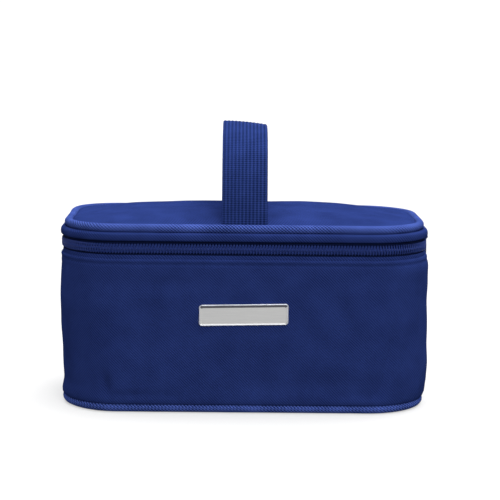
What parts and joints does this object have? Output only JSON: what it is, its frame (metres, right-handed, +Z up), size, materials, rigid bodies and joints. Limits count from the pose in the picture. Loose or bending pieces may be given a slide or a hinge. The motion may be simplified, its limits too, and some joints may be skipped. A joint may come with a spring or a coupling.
{
  "type": "insulated lunch box",
  "caption": "Soft insulated lunch box with a zipped lid on a fabric hinge, corded seams, a webbing carry handle running front to back and a blank metal badge.",
  "frame": {"origin": "centre of the base's underside, on the surface it stands on", "axes": "+Z up, front with the badge towards -Y, +X to the right seen from the front, along the width"},
  "size_m": [0.2569, 0.1276, 0.1937],
  "materials": {
    "shell_fabric": "matte",
    "piping_fabric": "matte",
    "piping_cord": "matte",
    "webbing": "satin",
    "foam": "matte",
    "stiffener": "matte",
    "liner_film": "satin",
    "binding_tape": "matte",
    "zip_tape": "matte",
    "zip_coil": "satin",
    "zip_metal": "satin",
    "badge_metal": "satin",
    "backing_metal": "satin"
  },
  "bodies": {
    "body": {"front_side_panel": "shell_fabric", "back_panel": "shell_fabric", "base_panel": "shell_fabric", "base_piping_cover": "piping_fabric", "base_piping_cord": "piping_cord", "base_board": "stiffener", "base_foam": "foam", "base_liner": "liner_film", "wall_foam": "foam", "wall_liner": "liner_film", "base_inner_binding": "binding_tape", "mouth_binding": "binding_tape", "lower_zip_tape": "zip_tape", "lower_zip_coil": "zip_coil", "lower_zip_stops": "zip_metal", "hinge_lower_leaf": "shell_fabric", "badge_plate": "badge_metal", "badge_backing_plate": "backing_metal", "badge_washers": "backing_metal"},
    "lid": {"lid_panel": "shell_fabric", "lid_piping_cover": "piping_fabric", "lid_piping_cord": "piping_cord", "lid_foam": "foam", "lid_liner": "liner_film", "lid_gusset": "shell_fabric", "lid_gusset_liner": "liner_film", "lid_inner_binding": "binding_tape", "upper_zip_tape": "zip_tape", "upper_zip_coil": "zip_coil", "upper_zip_stops": "zip_metal", "hinge_upper_leaf": "shell_fabric", "handle_front_anchor": "webbing", "handle_rear_anchor": "webbing"},
    "handle": {"handle_strap": "webbing"},
    "slider": {"slider_body": "zip_metal", "slider_bail": "zip_metal"},
    "pull": {"pull_tab": "zip_metal"}
  },
  "joints": [
    {"name": "lid_hinge", "type": "hinge", "parent": "body", "child": "lid", "pos_m": [0, 0.0632, 0.112], "axis": [-1, 0, 0], "range_deg": [0, 110]},
    {"name": "handle_lean", "type": "hinge", "parent": "lid", "child": "handle", "pos_m": [0, 0, 0.1451], "axis": [0, 1, 0], "range_deg": [-40, 40], "stiffness_Nm_per_rad": 0.03},
    {"name": "zip_slide", "type": "slide", "parent": "body", "child": "slider", "axis": [0, -1, 0], "range_m": [0, 0.026]},
    {"name": "pull_swing", "type": "hinge", "parent": "slider", "child": "pull", "pos_m": [0.1294, 0.013, 0.112], "axis": [0, -1, 0], "range_deg": [0, 120]}
  ]
}
